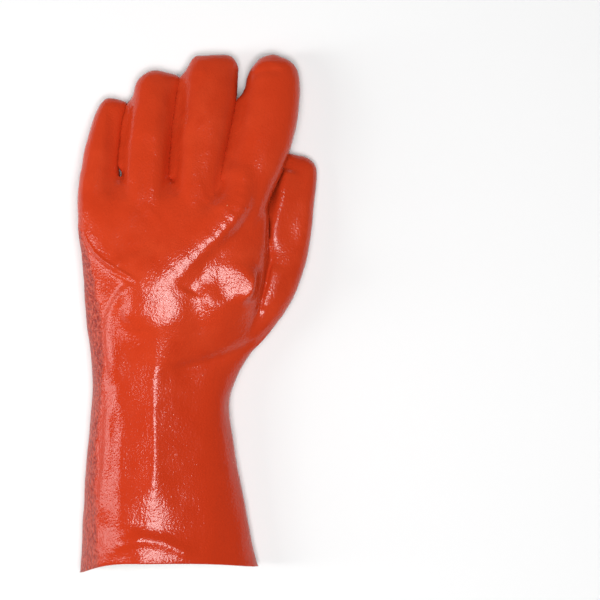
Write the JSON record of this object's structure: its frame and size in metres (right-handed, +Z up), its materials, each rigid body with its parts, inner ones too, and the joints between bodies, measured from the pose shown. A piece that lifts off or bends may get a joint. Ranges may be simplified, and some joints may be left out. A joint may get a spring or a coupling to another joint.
{
  "type": "pvc coated work glove",
  "caption": "Gauntlet work glove for the left hand, coated in PVC, hollow with an open flared cuff and slightly bent fingers, lying palm down.",
  "frame": {"origin": "middle of the bounding box seen from above, at the height of the surface it rests on", "axes": "+Y from the cuff to the fingertips, +X towards the thumb, +Z up out of the back of the hand"},
  "size_m": [0.1492, 0.324, 0.0535],
  "materials": {
    "pvc_coating": "gloss"
  },
  "bodies": {
    "root": {"glove": "pvc_coating"}
  },
  "joints": []
}
